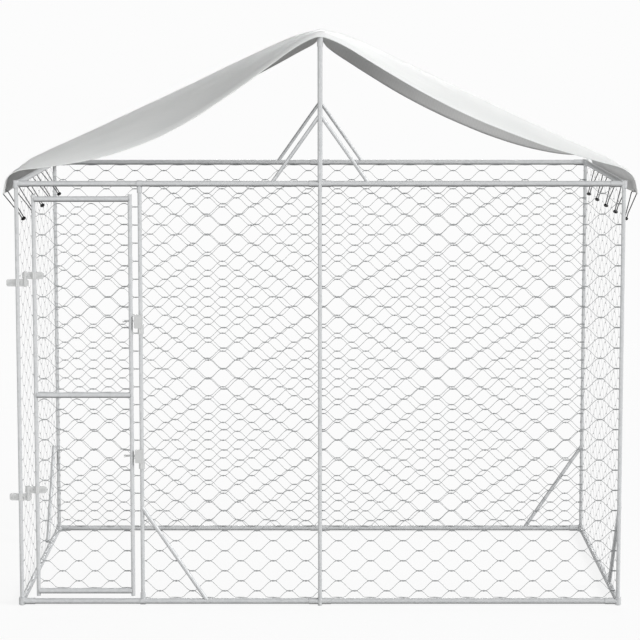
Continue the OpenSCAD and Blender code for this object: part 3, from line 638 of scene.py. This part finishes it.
def sheetRows():
    step, half = roofSheet["rowStep"] * mm, roofSheet["eyeHalf"] * mm
    stops = sorted([-roofEnd, -lipY, lipY, roofEnd] + [y + s * half for y in eyeY for s in (-1, 1)])
    rows = []
    for a, b in zip(stops, stops[1:]):
        count = roofSheet["lipSteps"] if abs(a + b) / 2 > lipY else max(1, round((b - a) / step))
        rows += [a + (b - a) * i / count for i in range(count)]
    return rows + [roofEnd]


def standProud(x, y, length, total):
    pull = sum(math.exp(-((y - e) / (roofSheet["pullWide"] * mm)) ** 2) for e in eyeY)
    fromPull = total - length - roofSheet["pullUp"] * mm
    tension = roofSheet["pull"] * mm * pull * math.exp(-fromPull ** 2 / (roofSheet["pullLong"] * mm) ** 2)
    # the third number of each point picks its own stretch of the noise
    long = roofSheet["creaseLong"] * mm
    crease = 0.5 + noise.noise(Vector((x / long, y / long * 2.2, 3.7))) \
        + 0.5 * noise.noise(Vector((x / long * 2.6 + y / long * 1.4, y / long * 4.5, 9.1)))
    clear = min(1.0, max(0.0, abs(x) - roofSheet["ridgeClear"] * mm) / (roofSheet["ridgeEase"] * mm))
    streak = 0.5 + noise.noise(Vector((x / long * 0.4, y / (roofSheet["streakWide"] * mm), 5.3)))
    return clear * (tension + roofSheet["crease"] * mm * max(0.0, crease)
                    + roofSheet["streak"] * mm * max(0.0, streak))


def hemShare(length, total, y):
    inside = min(total - length, roofEnd - abs(y))
    return 1.0 if inside < roofSheet["hemWide"] * mm else 0.0


def makeRoofSheet():
    section = halfSection()
    last = len(section) - 1
    lengths = [0.0]
    for a, b in zip(section, section[1:]):
        lengths.append(lengths[-1] + float(np.linalg.norm(b - a)))
    total = lengths[-1]
    outs = []
    for i in range(last + 1):
        v = section[min(i + 1, last)] - section[max(i - 1, 0)]
        v = v / np.linalg.norm(v)
        outs.append(np.array([0.0, 1.0]) if i == 0 else np.array([-v[1], v[0]]))
    rows = sheetRows()
    columns = 2 * last + 1
    layers, uvs = ([], []), []
    for layer in (0, 1):
        for y in rows:
            for c in range(columns):
                i, side = abs(c - last), (-1 if c < last else 1)
                x = side * section[i][0]
                proud = standProud(x, y, lengths[i], total)
                folded = hemShare(lengths[i], total, y)
                thick = roofSheet["thick"] * mm + folded * roofSheet["hemThick"] * mm
                p = section[i] + outs[i] * (proud + layer * thick)
                layers[layer].append((side * p[0], y, p[1] - edgeSag(x, y)))
                uvs.append((side * lengths[i], y))
    count = len(rows) * columns
    up = last - 3
    eyeColumns = (last - up - 1, last - up - 2, last + up, last + up + 1)

    def isEye(r, c):
        middle = (rows[r] + rows[r + 1]) / 2
        return c in eyeColumns and any(abs(middle - e) < 1 * mm for e in eyeY)

    faces, edges = [], {}
    for r in range(len(rows) - 1):
        for c in range(columns - 1):
            if isEye(r, c):
                continue
            ring = (r * columns + c, r * columns + c + 1, (r + 1) * columns + c + 1, (r + 1) * columns + c)
            faces.append(tuple(count + i for i in ring))
            faces.append(tuple(reversed(ring)))
            for a, b in zip(ring, ring[1:] + ring[:1]):
                if (b, a) in edges:
                    del edges[(b, a)]
                else:
                    edges[(a, b)] = True
    quads = len(faces)
    faces += [(a, b, count + b, count + a) for a, b in edges]
    piece = makePiece("roofTarpaulin", layers[0] + layers[1], faces, tarpaulin, "frame",
                      ("roof_tarp",), uvs)
    # the sheet's lower faces take the greyer copy: painted shade under the sheet
    piece.data.materials.append(shadedUnderside)
    for i in range(1, quads, 2):
        piece.data.polygons[i].material_index = 1
    area = sum(p.area for p in piece.data.polygons) / 2
    print("roof sheet hung:", round(2 * total, 3), "m over the ridge,", round(area, 3), "square metres")
    return piece


# the thin sheet lets the key light reach the frame below
# a twin of that light still shades the sheet itself
def letKeyThrough(piece):
    key = bpy.data.objects["keyLight"]
    twin = key.copy()
    twin.name = "sheetKeyLight"
    scene.collection.objects.link(twin)
    for lamp, state in ((key, "EXCLUDE"), (twin, "INCLUDE")):
        sheetOnly = bpy.data.collections.new(lamp.name + "Sheet")
        sheetOnly.objects.link(piece)
        sheetOnly.collection_objects[0].light_linking.link_state = state
        lamp.light_linking.receiver_collection = sheetOnly
        if lamp is key:
            lamp.light_linking.blocker_collection = sheetOnly


sheetPiece = makeRoofSheet()
letKeyThrough(sheetPiece)


# bungees: a cord loop through each eyelet, both ends knotted into a ball

bungee = {                                   # mm
    "cord": 5, "loop": 13, "strandHalf": 5, "neck": 30,
    "ball": 26, "ballDrop": 176, "ballGap": 0.3, "netDeep": 15.3, "ballOut": 16,
    "squat": 0.70,                           # height of the ball along the cord, as a share of its width
    "flatEnds": 18, "leastGirth": 0.35,      # degrees left off at each end, and share of the width there
    "seam": 0.35,                            # parting line of the two mould halves
    "ballRings": 17, "ballSides": 24, "cordSides": 10, "loopSteps": 19,
    "sheetHalf": 1.5, "eyelet": 3.9, "bearing": 0.5,
}


def bungeeLine(side):
    ballR = bungee["ball"] / 2 * mm
    if side < 0:
        ballX = halfWide - (bungee["netDeep"] + bungee["ballGap"]) * mm - ballR
    else:
        ballX = halfWide + bungee["ballOut"] * mm
    ball = np.array([ballX, eaveZ - bungee["ballDrop"] * mm])
    eye = hem - roofSheet["eyeUp"] * mm * flapAlong + flapOut * bungee["sheetHalf"] * mm
    down = (ball - eye) / np.linalg.norm(ball - eye)
    across = np.array([-down[1], down[0]])
    loop = bungee["loop"] * mm
    # the loop lies on the low edge of the eyelet
    bearing = (bungee["eyelet"] - bungee["cord"] / 2 - bungee["bearing"]) * mm
    middle = eye + (loop + bearing) * flapAlong
    half, neck = bungee["strandHalf"] * mm, bungee["neck"] * mm
    turns = np.radians(np.linspace(0, 180, bungee["loopSteps"]))
    path = [ball + half * across - rise * neck * down for rise in (0, 0.5, 1)]
    path += [middle + loop * (math.cos(a) * across - math.sin(a) * down) for a in turns]
    path += [ball - half * across - rise * neck * down for rise in (1, 0.5, 0)]
    return path, ball, down


def turned(profile, steps, centre, axis, across):
    other = np.cross(axis, across)
    verts, faces = [], []
    for height, radius in profile:
        for j in range(steps):
            a = 2 * math.pi * j / steps
            verts.append(centre + height * axis + radius * (math.cos(a) * across + math.sin(a) * other))
    rings = len(profile)
    for i in range(rings - 1):
        for j in range(steps):
            faces.append((i * steps + j, i * steps + (j + 1) % steps,
                          (i + 1) * steps + (j + 1) % steps, (i + 1) * steps + j))
    faces.append(tuple(reversed(range(steps))))
    faces.append(tuple((rings - 1) * steps + j for j in range(steps)))
    return verts, faces


def ballProfile():
    r = bungee["ball"] / 2 * mm
    turns = np.radians(np.linspace(bungee["flatEnds"], 180 - bungee["flatEnds"], bungee["ballRings"]))
    rise = [(-math.cos(a) * r * bungee["squat"], max(math.sin(a), bungee["leastGirth"]) * r) for a in turns]
    middle = len(rise) // 2
    rise[middle] = (rise[middle][0], rise[middle][1] - bungee["seam"] * mm)
    return rise


def makeBungees():
    cords, balls, cordUvs, cordLength = [], [], [], 0
    sides, thick = bungee["cordSides"], bungee["cord"] * mm
    alongRun = np.array([0.0, 1.0, 0.0])
    for side in (-1, 1):
        path, ball, down = bungeeLine(side)
        lengths = np.concatenate([[0], np.cumsum([np.linalg.norm(b - a) for a, b in zip(path, path[1:])])])
        cordLength = max(cordLength, lengths[-1])
        for y in eyeY:
            line = [(side * p[0], y, p[1]) for p in path]
            cords.append(sweep(line, thick / 2, sides, alongRun))
            cordUvs += [(s, thick * math.pi * j / sides) for s in lengths for j in range(sides)]
            axis = np.array([side * down[0], 0, down[1]])
            centre = np.array([side * ball[0], y, ball[1]])
            balls.append(turned(ballProfile(), bungee["ballSides"], centre, axis, alongRun))
    verts, faces = gather(cords)
    makePiece("bungeeLoops", verts, faces, elastic, "frame", ("bungee_cords",), cordUvs)
    verts, faces = gather(balls)
    makePiece("bungeeEndBalls", verts, faces, blackPlastic, "frame", ("bungee_balls",))
    print("bungees hung:", len(balls), "with", round(float(cordLength), 3), "m of cord each at most")


makeBungees()
